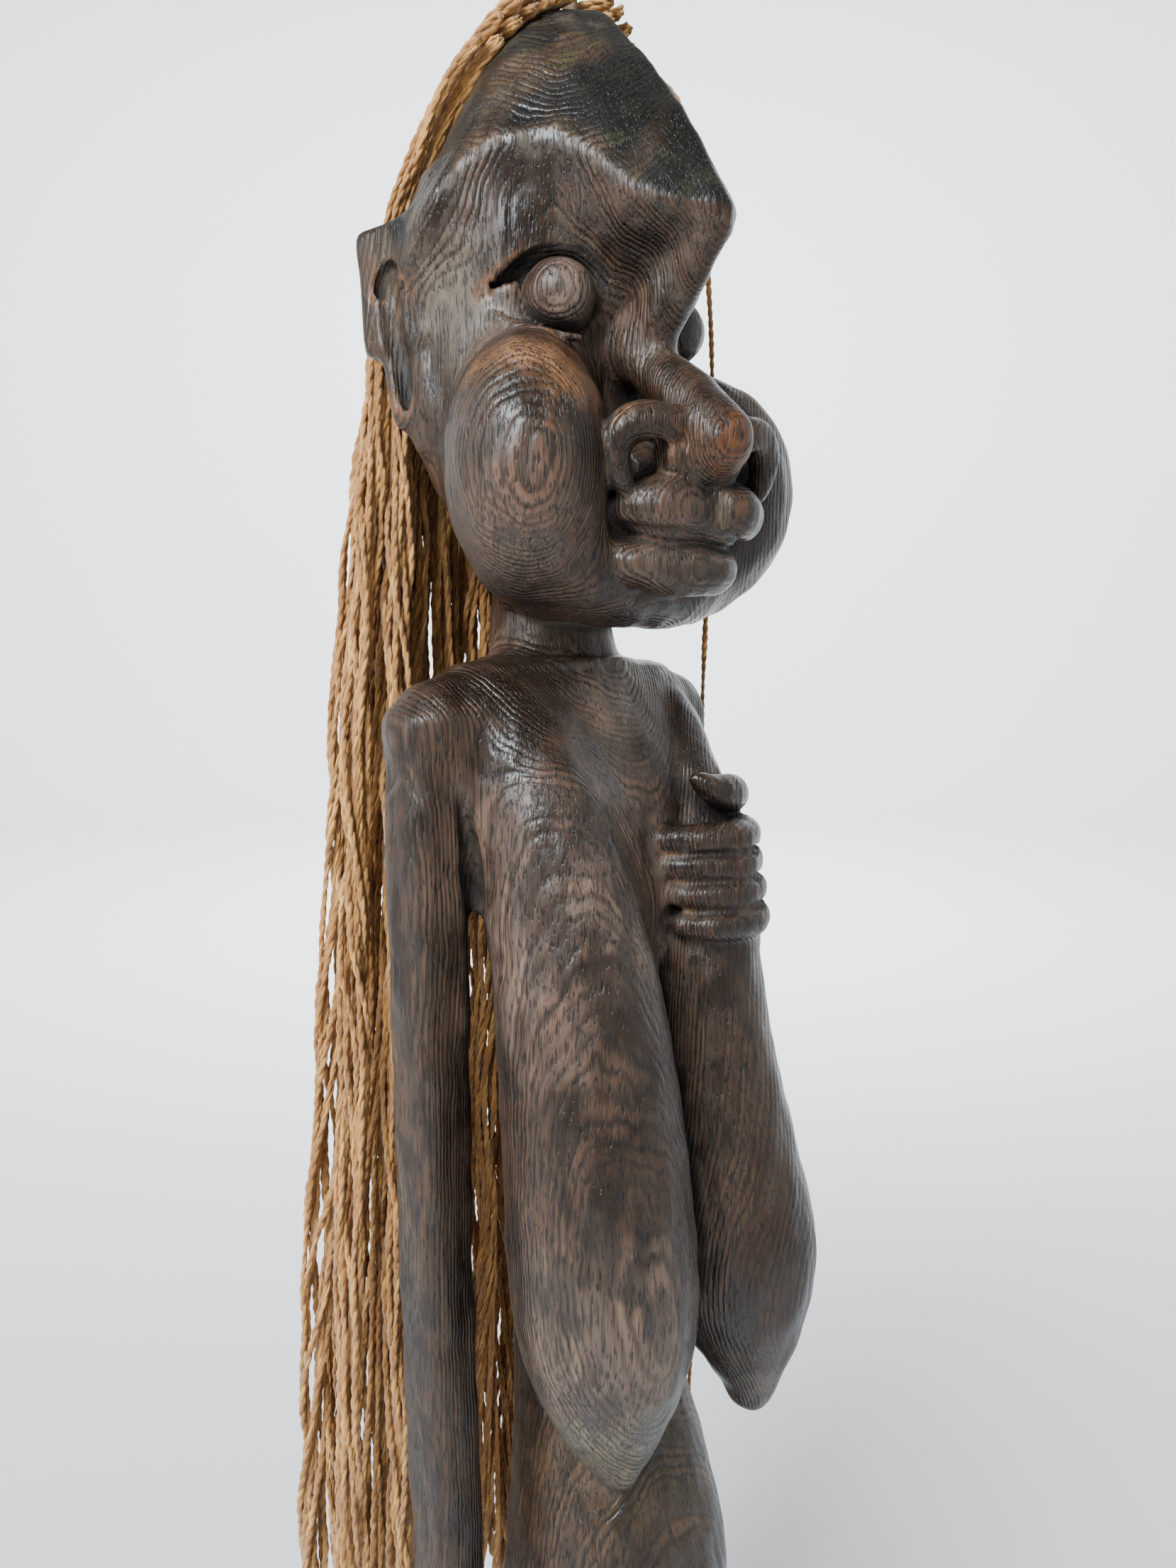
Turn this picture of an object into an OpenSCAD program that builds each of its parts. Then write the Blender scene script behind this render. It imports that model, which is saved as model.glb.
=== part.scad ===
// Carved ancestor figure with twine hair.
// One log is carved into the figure and its plinth. The hair is loose twine,
// gathered across the crown round a peg and hanging down the back in locks.
// Origin: centre of the plinth's underside. The figure faces -Y, +Z is up.

/* [Carving] */
// Height of the crown of the head above the plinth's underside
crown_z = 1000; // [980:1:1010]
// Width of the plinth across the figure
plinth_w = 188; // [170:2:220]
// Depth of the plinth from front to back
plinth_d = 170; // [160:2:200]
// Thickness of the plinth
plinth_h = 42; // [30:1:60]
// How far the brow prow stands in front of the dome's axis
prow_reach = 80; // [70:1:90]
// Radius of each puffed cheek
cheek_r = 39; // [32:0.5:42]
// Radius of each carved eyeball
eye_r = 13; // [10:0.5:15]
// Half of the distance between the eyes
eye_x = 34; // [30:0.5:38]
// Radius of the neck
neck_r = 23; // [18:0.5:28]
// Distance of each shoulder joint from the middle
shoulder_x = 68; // [62:1:72]
// Half of the thickness of the hanging arm
arm_r = 12.5; // [11:0.5:14]
// Fullness of each long breast at its widest
breast_r = 35; // [28:0.5:37]

/* [Hair] */
// Thickness of one strand of twine
strand_d = 3; // [2:0.1:4]
// Thickness of a lock of strands where it is pressed together on the crown
lock_crown_d = 5; // [4.4:0.1:5.2]
// Thickness of a lock where it hangs free
lock_d = 12; // [9:0.5:13]
// Lowest height that the hair hangs to
hair_end_z = 215; // [180:5:255]
// Diameter of the peg that the hair is gathered round
peg_d = 6; // [4:0.5:6.5]

/* [Hidden] */
LOCKS = 24;
function two_digits(i) = str(i < 10 ? "0" : "", i);
function lock_name(i) = str("hair_lock_", two_digits(i));

wood_colour = [0.25, 0.20, 0.17];
peg_colour = [0.33, 0.24, 0.17];
twine_colour = [0.72, 0.52, 0.29];
BALL_FN = 18;

// The dome is a paraboloid about an upright axis at (0, dome_y).
dome_y = 10;
dome_k = 48;
function dome_z(x, y) = crown_z - (x * x + (y - dome_y) * (y - dome_y)) / dome_k;
function unit(v) = v / norm(v);
function dome_out(x, y) = unit([2 * x / dome_k, 2 * (y - dome_y) / dome_k, 1]);
function on_dome(x, y, off) = [x, y, dome_z(x, y)] + off * dome_out(x, y);

// Heights on the head, from the crown down.
prow_z = crown_z - 93;
ear_top_z = crown_z - 82;
eye_z = crown_z - 116;
cheek_z = crown_z - 178;
nose_z = crown_z - 172;
upper_lip_z = crown_z - 195;
lower_lip_z = crown_z - 214;
chin_z = crown_z - 214;
ear_low_z = crown_z - 160;
shoulder_z = crown_z - 270;
hip_z = crown_z - 660;

// ---- Shapes that repeat ----

module ball(p, r) {
    translate(p) sphere(r, $fn = BALL_FN);
}

// A rounded limb through points [x, y, z, r].
module limb(pts) {
    for (i = [0 : len(pts) - 2])
        hull() {
            ball([pts[i][0], pts[i][1], pts[i][2]], pts[i][3]);
            ball([pts[i + 1][0], pts[i + 1][1], pts[i + 1][2]], pts[i + 1][3]);
        }
}

// A round trunk, wider than deep, through slices [y, z, half width, half depth].
module trunk(slices, fn) {
    for (i = [0 : len(slices) - 2])
        hull()
            for (s = [slices[i], slices[i + 1]])
                translate([0, s[0], s[1]]) resize([2 * s[2], 2 * s[3], 1]) cylinder(h = 1, r = 1, $fn = fn);
}

module egg(p, size) {
    translate(p) scale(size) sphere(1, $fn = BALL_FN);
}

module both_sides() {
    children();
    mirror([1, 0, 0]) children();
}

// ---- Head ----

module dome() {
    hull() {
        for (drop = [0.5, 5, 16, 34, 56, 76, 92])
            translate([0, dome_y, crown_z - drop])
                cylinder(h = 0.5, r = sqrt(dome_k * drop), $fn = 30);
        ball([0, dome_y - prow_reach + 5, prow_z], 5);
    }
}

module skull() {
    hull() {
        egg([0, 14, crown_z - 92], [66, 66, 30]);
        egg([0, 24, crown_z - 128], [62, 52, 30]);
        ball([0, -34, prow_z - 8], 5);
        ball([0, -17, eye_z - 14], 8);
    }
    hull() {
        egg([0, 24, crown_z - 128], [60, 50, 28]);
        egg([0, 8, crown_z - 176], [52, 36, 30]);
        egg([0, -2, chin_z], [34, 30, 20]);
    }
}

module brow_keel() {
    hull() {
        ball([0, dome_y - prow_reach + 5, prow_z], 5);
        ball([0, -22, eye_z - 12], 6);
        ball([0, -14, eye_z - 12], 12);
    }
}

module face() {
    both_sides() {
        egg([48, -16, cheek_z - 1], [cheek_r, cheek_r, cheek_r * 1.18]);
        egg([26, -22, cheek_z - 33], [34, 30, 24]);
        ball([eye_x, -14, eye_z - 1], eye_r);
    }
    // Bridge, tip and wings of the nose.
    limb([[0, -21, eye_z - 15, 9], [0, -62, nose_z + 2, 13.5]]);
    hull() {
        ball([26, -46, nose_z + 1], 9);
        ball([-26, -52, nose_z + 1], 9);
        ball([0, -58, nose_z - 1], 12);
    }
    // Muzzle and lips between the cheeks.
    egg([0, -27, lower_lip_z + 18], [28, 26, 30]);
    hull() {
        ball([14, -55, upper_lip_z], 10);
        ball([-14, -49, upper_lip_z], 10);
    }
    hull() {
        ball([13, -47, lower_lip_z], 9);
        ball([-13, -43, lower_lip_z], 9);
    }
}

module ear() {
    hull() {
        translate([61, 56, ear_top_z - 4]) rotate([0, 0, -28]) cube([9, 26, 8], center = true);
        translate([62, 60, ear_top_z - 28]) rotate([0, 0, -28]) cube([9, 27, 8], center = true);
        translate([52, 48, ear_low_z]) rotate([0, 0, -28]) cube([8, 10, 8], center = true);
    }
}

// ---- Body ----

// Breast: from the shoulder, down the front, to its tip.
BREAST = [
    [-44, 3, crown_z - 280, 18],
    [-37, -22, crown_z - 350, breast_r - 7],
    [-35, -37, crown_z - 440, breast_r - 1],
    [-36, -43, crown_z - 495, breast_r - 1],
    [-36, -47, crown_z - 550, 10]
];

module torso() {
    trunk([
        [16, crown_z - 247, 30, 18],
        [14, crown_z - 258, 66, 21],
        [10, crown_z - 290, 72, 25],
        [10, crown_z - 400, 46, 23],
        [4, crown_z - 500, 39, 25],
        [-8, crown_z - 570, 42, 36],
        [-12, crown_z - 630, 50, 48],
        [-4, crown_z - 690, 62, 50]
    ], 28);
    both_sides() {
        limb(BREAST);
        egg([27, 34, crown_z - 655], [33, 30, 42]);
    }
}

module neck() {
    translate([0, 25, crown_z - 256]) cylinder(h = 60, r1 = neck_r + 1, r2 = neck_r, $fn = 28);
}

module right_arm() {
    limb([
        [-shoulder_x, 13, shoulder_z - 2, 16.5],
        [-75.5, 11, crown_z - 330, arm_r + 1],
        [-75, 9.5, crown_z - 500, arm_r],
        [-71, 8, crown_z - 610, arm_r]
    ]);
    // The hand lies flat on the hip.
    hull() {
        ball([-71, 8, crown_z - 610], arm_r);
        egg([-65, -4, crown_z - 655], [13, 20, 24]);
    }
}

module left_arm() {
    limb([
        [shoulder_x - 3, 16, shoulder_z - 2, 16],
        [75, 17, crown_z - 350, arm_r + 0.5],
        [76, 12, crown_z - 408, arm_r],
        [57, -32, crown_z - 362, 9]
    ]);
    // The hand grips the breast: four fingers lie across it under the thumb.
    hull() {
        egg([56, -28, crown_z - 337], [9, 12, 20]);
        egg([32, -46, crown_z - 335], [14, 9, 21]);
    }
    for (k = [0 : 3])
        limb([
            [54, -32 - 1.5 * k, crown_z - 319 - 11 * k, 7],
            [31, -49.5 - 1.5 * k, crown_z - 318 - 11 * k, 6.6],
            [8, -37 - 2.2 * k, crown_z - 318 - 11 * k, 5]
        ]);
}

module leg() {
    limb([
        [34, -2, crown_z - 690, 33],
        [37, -16, crown_z - 790, 26],
        [37, -10, crown_z - 850, 21],
        [36, 8, crown_z - 905, 20],
        [35, 2, plinth_h + 12, 15]
    ]);
    hull() {
        ball([35, 6, plinth_h + 8], 15);
        egg([37, -48, plinth_h + 3], [20, 16, 11]);
    }
}

module plinth() {
    hull()
        for (z = [[0, -3], [3, 0], [plinth_h - 4, -2], [plinth_h, -7]])
            translate([0, 0, z[0]])
                resize([plinth_w + 2 * z[1], plinth_d + 2 * z[1], 0.01])
                    cylinder(h = 0.01, r = 1, $fn = 48);
}

// Peg in the crown that the hair is gathered round.
peg_y = 12;
peg_low = crown_z - 24;
peg_top = crown_z + 13;

module carved_figure() {
    color(wood_colour)
        difference() {
            union() {
                dome();
                skull();
                brow_keel();
                face();
                both_sides() ear();
                neck();
                torso();
                right_arm();
                left_arm();
                both_sides() leg();
                plinth();
            }
            translate([0, peg_y, peg_low])
                cylinder(h = peg_top - peg_low, d = peg_d + 0.3, $fn = 24);
        }
}

// ---- Hair ----

// A closed tube of 8 sides through points, with one radius for each.
SIDES = 8;

function ring(pts, radii, i) =
    let (
        a = pts[max(i - 1, 0)],
        b = pts[min(i + 1, len(pts) - 1)],
        along = unit(b - a),
        side = unit(cross([1, 0, 0], along)),
        up = cross(along, side)
    )
    [for (k = [0 : SIDES - 1])
        pts[i] + radii[i] * (cos(360 * k / SIDES) * side + sin(360 * k / SIDES) * up)];

module tube(pts, radii) {
    n = len(pts);
    points = [for (i = [0 : n - 1]) each ring(pts, radii, i)];
    walls = [for (i = [0 : n - 2], k = [0 : SIDES - 1])
        let (a = i * SIDES + k, b = i * SIDES + (k + 1) % SIDES)
        each [[a, a + SIDES, b], [b, a + SIDES, b + SIDES]]];
    ends = [
        [for (k = [0 : SIDES - 1]) k],
        [for (k = [SIDES - 1 : -1 : 0]) (n - 1) * SIDES + k]
    ];
    polyhedron(points, concat(walls, ends), convexity = 6);
}

// Smooth curve through points: Catmull-Rom.
function between(p0, p1, p2, p3, t) =
    0.5 * (2 * p1 + (p2 - p0) * t + (2 * p0 - 5 * p1 + 4 * p2 - p3) * t * t
        + (3 * p1 - p0 - 3 * p2 + p3) * t * t * t);
function smooth(pts, s) =
    let (i = min(floor(s), len(pts) - 2), t = s - i)
    between(pts[max(i - 1, 0)], pts[i], pts[i + 1], pts[min(i + 2, len(pts) - 1)], t);

// Where the free-hanging hair passes: [height, inner and outer distance from the
// dome's axis, fan of the outermost lock in degrees, thickness as part of lock_d].
HANG = [
    [900, 69, 78, 38, 0.66],
    [865, 71, 84, 40, 0.72],
    [825, 72, 88, 44, 0.8],
    [780, 72, 92, 49, 0.9],
    [725, 73, 96, 53, 1],
    [660, 74, 99, 58, 1],
    [590, 75, 103, 63, 1],
    [520, 76, 108, 66, 1],
    [450, 77, 113, 68, 1],
    [380, 78, 115, 68, 1],
    [310, 78, 116, 67, 1],
    [hair_end_z + 25, 78, 116, 66, 0.95]
];

// Steps over the dome, from the front of the gathered hair to the dome's edge.
CREST = [0, 0.2, 0.4, 0.6, 0.8, 1];
function front_y(i) = 3 + 14 * place(i) * place(i);
edge_r = 62;

// Each lock has a place across the hair, -1 to 1. Two layers lie on the crown, and
// each opens into two more where the hair hangs.
function place(i) = (2 * i - LOCKS - 1) / (LOCKS - 1);
function layer(i) = i % 2;
function depth(i) = 0.65 * layer(i) + 0.34 * (floor((i - 1) / 2) % 2);
function crown_x(i) = sign(place(i)) * (6 + 29 * abs(place(i)));
function edge_x(i) = 44 * place(i);
function edge_y(i) = dome_y + sqrt(edge_r * edge_r - edge_x(i) * edge_x(i));
function crest_point(i, t) =
    on_dome(
        crown_x(i) * (1 - t) + edge_x(i) * t,
        front_y(i) * (1 - t) + edge_y(i) * t,
        2.9 + 0.5 * t + layer(i) * (5.2 + 0.5 * t)
    );
function hang_point(i, h) =
    let (
        r = h[1] + (h[2] - h[1]) * depth(i),
        a = h[3] * place(i)
    )
    [r * sin(a), dome_y + r * cos(a), h[0]];
// Every lock ends at its own height.
function end_rise(i) = 55 * abs(sin(137 * i));
function lock_route(i) = concat(
    [for (t = CREST) crest_point(i, t)],
    [for (h = HANG) hang_point(i, h) + (h[0] < 300 ? [0, 0, end_rise(i)] : [0, 0, 0])]
);
function lock_radii() = concat(
    [for (t = CREST) lock_crown_d / 2 + 0.4 * t],
    [for (h = HANG) lock_d / 2 * h[4]]
);

LOCK_RINGS = 26;
module hair_lock(i) {
    route = lock_route(i);
    radii = lock_radii();
    last = len(route) - 1;
    steps = [for (k = [0 : LOCK_RINGS - 1]) last * k / (LOCK_RINGS - 1)];
    color(twine_colour)
        tube(
            [for (s = steps) smooth(route, s)],
            [for (s = steps) smooth(radii, s)]
        );
}

// One strand that strays over the left temple and hangs past the left shoulder.
STRAY = [
    [18, 10, 995],
    [28, 5, 992],
    [38, 1, 987],
    [46, -2, 981],
    [52, -3, 973],
    [58, -2, 964],
    [64, 0, 953],
    [70, 2, 942],
    [76, 5, 930],
    [82, 8, 915],
    [86, 9.5, 897],
    [89, 11, 876],
    [90.5, 12.5, 850],
    [91.5, 14, 815],
    [92, 16, 765],
    [93, 18, 715],
    [96, 19, 670],
    [101, 21, 620],
    [104, 23, 560],
    [105, 25, 500],
    [103, 27, 440],
    [101, 28, 380],
    [100, 28, 320],
    [101, 27, 262]
];
STRAY_RINGS = 58;
module stray_strand() {
    last = len(STRAY) - 1;
    steps = [for (k = [0 : STRAY_RINGS - 1]) last * k / (STRAY_RINGS - 1)];
    color(twine_colour)
        tube([for (s = steps) smooth(STRAY, s)], [for (s = steps) strand_d / 2]);
}

module crown_peg() {
    color(peg_colour)
        translate([0, peg_y, 0]) {
            translate([0, 0, peg_low]) cylinder(h = peg_top - peg_low - 2, d = peg_d, $fn = 32);
            translate([0, 0, peg_top - 2]) cylinder(h = 2, d1 = peg_d, d2 = peg_d - 2, $fn = 32);
        }
}

carved_figure();
crown_peg();
stray_strand();
for (i = [1 : LOCKS])
    hair_lock(i);
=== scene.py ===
"""Carved ancestor figure with twine hair: one carved log, and 24 locks of twine down its back.

Everything is built in the CAD's own frame. Shapes are worked out in millimetres and
turned into metres when their mesh is made.
"""
import math

import bpy
import numpy as np
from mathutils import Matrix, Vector


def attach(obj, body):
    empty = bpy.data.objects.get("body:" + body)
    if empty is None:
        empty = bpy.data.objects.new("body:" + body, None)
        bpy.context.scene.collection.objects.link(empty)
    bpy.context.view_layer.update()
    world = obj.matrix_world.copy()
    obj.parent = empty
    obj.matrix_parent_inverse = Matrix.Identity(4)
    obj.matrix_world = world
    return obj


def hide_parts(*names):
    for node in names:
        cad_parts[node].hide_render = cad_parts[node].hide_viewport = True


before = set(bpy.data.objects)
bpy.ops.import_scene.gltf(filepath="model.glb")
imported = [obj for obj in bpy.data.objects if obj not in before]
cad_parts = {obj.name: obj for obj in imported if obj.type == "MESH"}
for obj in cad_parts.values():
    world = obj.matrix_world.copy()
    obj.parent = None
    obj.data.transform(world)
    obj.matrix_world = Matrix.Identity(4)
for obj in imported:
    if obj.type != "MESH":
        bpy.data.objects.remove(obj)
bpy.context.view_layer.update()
MM = 0.001


# ---------------------------------------------------------------- camera and light
def make_camera():
    """A hand-held phone camera a little under half a metre in front of the face."""
    data = bpy.data.cameras.new("camera")
    data.sensor_fit = "VERTICAL"
    data.sensor_width = 36
    data.sensor_height = 36
    data.lens = 26.04
    data.clip_start = 0.01
    cam = bpy.data.objects.new("camera", data)
    cam.location = (-0.32785, -0.32597, 0.754)
    cam.rotation_euler = (math.radians(83.5), 0, math.radians(-45))
    bpy.context.scene.collection.objects.link(cam)
    bpy.context.scene.camera = cam


def area_light(name, place, target, size, power, colour):
    """A rectangular softbox at place that faces target."""
    data = bpy.data.lights.new(name, "AREA")
    data.shape = "RECTANGLE"
    data.size, data.size_y = size
    data.energy = power
    data.color = colour
    lamp = bpy.data.objects.new(name, data)
    lamp.location = place
    lamp.rotation_euler = (Vector(target) - Vector(place)).to_track_quat("-Z", "Y").to_euler()
    bpy.context.scene.collection.objects.link(lamp)


def make_studio():
    """A round pale floor that turns up into a wall, with a window on the figure's right."""
    area_light("window", (-1.45, -0.5, 1.85), (0, 0, 0.75), (0.8, 1.0), 105, (0.87, 0.94, 1.0))
    area_light("side", (-1.6, 0.5, 0.9), (0, 0, 0.6), (0.8, 1.4), 15, (1.0, 0.97, 0.94))
    area_light("fill", (0.7, -1.9, 1.1), (0, 0, 0.8), (1.4, 1.4), 2.5, (1.0, 0.97, 0.93))
    area_light("wall", (1.3, 1.3, 3.3), (4.8, 4.8, 1.1), (2.4, 2.4), 600, (0.98, 1.0, 1.0))
    world = bpy.data.worlds.new("soft_studio")
    world.use_nodes = True
    sky = world.node_tree.nodes["Background"]
    sky.inputs["Color"].default_value = (0.90, 0.915, 0.92, 1)
    sky.inputs["Strength"].default_value = 0.42
    bpy.context.scene.world = world

    bend = [(5.0 + 1.2 * math.sin(a), 1.2 - 1.2 * math.cos(a)) for a in np.radians(range(0, 91, 10))]
    profile = [(0.6, 0.0), (1.6, 0.0), (3.2, 0.0)] + bend + [(6.2, 3.6), (6.2, 5.6)]
    around = 96
    verts = [(0, 0, 0)]
    for radius, z in profile:
        for k in range(around):
            a = 2 * math.pi * k / around
            verts.append((radius * math.cos(a), radius * math.sin(a), z))
    faces = [(0, 1 + k, 1 + (k + 1) % around) for k in range(around)]
    for ring in range(len(profile) - 1):
        low, high = 1 + ring * around, 1 + (ring + 1) * around
        for k in range(around):
            n = (k + 1) % around
            faces.append((low + k, low + n, high + n, high + k)[::-1])
    mesh = bpy.data.meshes.new("floor")
    mesh.from_pydata(verts, [], faces)
    mesh.polygons.foreach_set("use_smooth", [True] * len(mesh.polygons))
    floor = bpy.data.objects.new("floor", mesh)
    bpy.context.scene.collection.objects.link(floor)
    plaster = bpy.data.materials.new("pale_floor")
    plaster.use_nodes = True
    shader = plaster.node_tree.nodes["Principled BSDF"]
    shader.inputs["Base Color"].default_value = (0.80, 0.82, 0.83, 1)
    shader.inputs["Roughness"].default_value = 0.85
    mesh.materials.append(plaster)


# ---------------------------------------------------------------- small helpers
def put(name, verts_mm, faces, material):
    """A mesh object from points in millimetres, riding on the carving's body."""
    mesh = bpy.data.meshes.new(name)
    faces = np.asarray(faces)
    size = faces.shape[1]
    mesh.vertices.add(len(verts_mm))
    mesh.vertices.foreach_set("co", (np.asarray(verts_mm) * MM).ravel())
    mesh.loops.add(faces.size)
    mesh.loops.foreach_set("vertex_index", faces.ravel())
    mesh.polygons.add(len(faces))
    mesh.polygons.foreach_set("loop_start", np.arange(0, faces.size, size))
    mesh.polygons.foreach_set("use_smooth", np.full(len(faces), True))
    mesh.update(calc_edges=True)
    mesh.materials.append(material)
    piece = bpy.data.objects.new(name, mesh)
    bpy.context.scene.collection.objects.link(piece)
    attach(piece, "root")
    return piece


def unit(v):
    """The vector, or each row of vectors, at length 1."""
    v = np.asarray(v, float)
    return v / np.linalg.norm(v, axis=-1, keepdims=True)


def spline(points, count):
    """Catmull-Rom curve through the rows of points, as count rows."""
    p = np.asarray(points, float)
    last = len(p) - 1
    s = np.linspace(0, last, count)
    i = np.minimum(s.astype(int), last - 1)
    t = (s - i)[:, None]
    before, start, end, after = p[np.maximum(i - 1, 0)], p[i], p[i + 1], p[np.minimum(i + 2, last)]
    return 0.5 * (
        2 * start
        + (end - before) * t
        + (2 * before - 5 * start + 4 * end - after) * t**2
        + (3 * start - before - 3 * end + after) * t**3
    )


# ---------------------------------------------------------------- hair
# The same routes, in millimetres, as the CAD's locks.
LOCKS = 24
DOME_Y, DOME_K, CROWN_Z, HAIR_END_Z = 10, 48, 1000, 215
LOCK_CROWN_D, LOCK_D, STRAND_D = 5, 12, 2.9
STRANDS = 10
LOCK_STEP, STRAY_STEP, FOLD_STEP = 2.8, 1.6, 1.4
# How far a strand's middle may wander from the lock's.
WANDER = 5.9
CREST = [0, 0.2, 0.4, 0.6, 0.8, 1]
HANG = [
    # z, inner radius, outer radius, widest angle, share of the full thickness
    (900, 69, 78, 38, 0.66), (865, 71, 84, 40, 0.72), (825, 72, 88, 44, 0.8), (780, 72, 92, 49, 0.9),
    (725, 73, 96, 53, 1), (660, 74, 99, 58, 1), (590, 75, 103, 63, 1), (520, 76, 108, 66, 1),
    (450, 77, 113, 68, 1), (380, 78, 115, 68, 1), (310, 78, 116, 67, 1),
    (HAIR_END_Z + 25, 78, 116, 66, 0.95),
]
STRAY = [
    (18, 10, 995), (28, 5, 992), (38, 1, 987), (46, -2, 981), (52, -3, 973), (58, -2, 964), (64, 0, 953),
    (70, 2, 942), (76, 5, 930), (82, 8, 915), (86, 9.5, 897), (89, 11, 876), (90.5, 12.5, 850),
    (91.5, 14, 815), (92, 16, 765), (93, 18, 715),
    (96, 19, 670), (101, 21, 620), (104, 23, 560), (105, 25, 500), (103, 27, 440), (101, 28, 380),
    (100, 28, 320), (101, 27, 262),
]


def on_dome(x, y, off):
    """A point above the head's dome, off millimetres along its normal."""
    normal = unit([2 * x / DOME_K, 2 * (y - DOME_Y) / DOME_K, 1])
    return np.array([x, y, CROWN_Z - (x**2 + (y - DOME_Y) ** 2) / DOME_K]) + off * normal


def lock_route(i):
    """Rows of x, y, z, radius along lock i, over the crown and down the back."""
    place = (2 * i - LOCKS - 1) / (LOCKS - 1)
    layer = i % 2
    depth = 0.65 * layer + 0.34 * ((i - 1) // 2 % 2)
    crown_x = math.copysign(6 + 29 * abs(place), place)
    edge_x, edge_r, front_y = 44 * place, 62, 3 + 14 * place**2
    edge_y = DOME_Y + math.sqrt(edge_r**2 - edge_x**2)
    rows = []
    for t in CREST:
        off = 2.9 + 0.5 * t + layer * (5.2 + 0.5 * t)
        x, y = crown_x * (1 - t) + edge_x * t, front_y * (1 - t) + edge_y * t
        rows.append([*on_dome(x, y, off), LOCK_CROWN_D / 2 + 0.4 * t])
    for z, inner, outer, widest, share in HANG:
        r = inner + (outer - inner) * depth
        a = math.radians(widest * place)
        rows.append([r * math.sin(a), DOME_Y + r * math.cos(a), z, LOCK_D / 2 * share])
    rows[-1][2] += 55 * abs(math.sin(math.radians(137 * i)))
    return np.array(rows)


def along(points):
    """Length from the start to each point of a curve."""
    return np.concatenate([[0], np.cumsum(np.linalg.norm(np.diff(points, axis=0), axis=1))])


def even(rows, step):
    """The rows, splined and spaced evenly along their length."""
    dense = spline(rows, 40 * len(rows))
    s = along(dense[:, :3])
    at = np.linspace(0, s[-1], max(int(s[-1] / step), 3))
    return np.stack([np.interp(at, s, c) for c in dense.T], 1)


def frames(points):
    """Two unit vectors across a curve at each point, that don't spin round it."""
    tangent = unit(np.gradient(points, axis=0))
    side = np.zeros_like(points)
    side[0] = unit(np.cross(tangent[0], [0.3, 0.1, 1]) + 1e-6)
    for k in range(1, len(points)):
        s = side[k - 1] - tangent[k] * (side[k - 1] @ tangent[k])
        side[k] = s / np.linalg.norm(s)
    return side, np.cross(tangent, side)


def tube(points, radius, sides, start=0):
    """Vertices and quads of a tube along points; its ends are left open."""
    side, up = frames(points)
    a = 2 * np.pi * np.arange(sides) / sides
    r = np.broadcast_to(np.asarray(radius, float), len(points))[:, None, None]
    ring = np.cos(a)[None, :, None] * side[:, None] + np.sin(a)[None, :, None] * up[:, None]
    verts = (points[:, None] + r * ring).reshape(-1, 3)
    n = len(points)
    k, j = np.meshgrid(np.arange(n - 1), np.arange(sides), indexing="ij")
    nxt = (j + 1) % sides
    quads = np.stack([k * sides + j, k * sides + nxt, (k + 1) * sides + nxt, (k + 1) * sides + j], -1)
    return verts, quads.reshape(-1, 4) + start


class Yarn:
    """Collects the tubes of one lock."""

    def __init__(self, seed):
        self.rng = np.random.default_rng(seed)
        self.verts, self.quads, self.uv, self.count = [], [], [], 0

    def add(self, points, radius, sides, fibre):
        verts, quads = tube(points, radius, sides, self.count)
        s = along(points)
        n = len(points)
        k, j = np.meshgrid(np.arange(n - 1), np.arange(sides), indexing="ij")
        k, j = k.ravel(), j.ravel()
        shift = self.rng.random()
        u = np.stack([s[k], s[k], s[k + 1], s[k + 1]], 1) / 10 + 7 * shift
        v = np.stack([j, j + 1, j + 1, j], 1) / sides + 0 * u
        self.uv.append(np.stack([u, v + (2 if fibre else 0)], -1).reshape(-1, 2))
        self.verts.append(verts)
        self.quads.append(quads)
        self.count += len(verts)

    def strand(self, points, thick, pitch=13, plies=2, sides=5, fuzz=0.07):
        """Two plies twisted round each other along the points, with fibres that stand off."""
        side, up = frames(points)
        s = along(points)
        drift = 0.12 * np.sin(s / 37 + 6 * self.rng.random())
        turn = 2 * np.pi * (s / pitch + drift) + 6.3 * self.rng.random()
        swell = 1 + 0.26 * np.sin(s / 7.3 + 6 * self.rng.random()) * np.sin(s / 19 + 6 * self.rng.random())
        ends = np.clip(np.minimum(s, s[-1] - s) / 2 + 0.25, 0.3, 1)
        for ply in range(plies):
            a = turn + 2 * np.pi * ply / plies
            off = 0.17 * thick * swell
            line = points + (off * np.cos(a))[:, None] * side + (off * np.sin(a))[:, None] * up
            self.add(line, 0.34 * thick * swell * ends, sides, False)
        for _ in range(int(s[-1] * fuzz)):
            self.fibre(points, side, up, thick)

    def fibre(self, points, side, up, thick):
        r = self.rng
        k = int(r.integers(1, len(points) - 2))
        a = 6.3 * r.random()
        out = math.cos(a) * side[k] + math.sin(a) * up[k]
        ahead = unit(points[k + 1] - points[k]) * (1 if r.random() < 0.5 else -1)
        length = r.uniform(2, 4.8)
        bow = r.uniform(0.4, 1.2)
        curl = unit(r.normal(size=3)) * r.uniform(0, 0.6)
        t = np.linspace(0, 1, 5)[:, None]
        line = points[k] + out * (0.35 * thick + bow * t**1.3) + ahead * length * t + curl * t**2
        self.add(line, np.array([0.1, 0.085, 0.075, 0.06, 0.03]), 3, True)

    def piece(self, name, material):
        piece = put(name, np.concatenate(self.verts), np.concatenate(self.quads), material)
        layer = piece.data.uv_layers.new(name="twine")
        layer.data.foreach_set("uv", np.concatenate(self.uv).ravel())
        return piece


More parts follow.
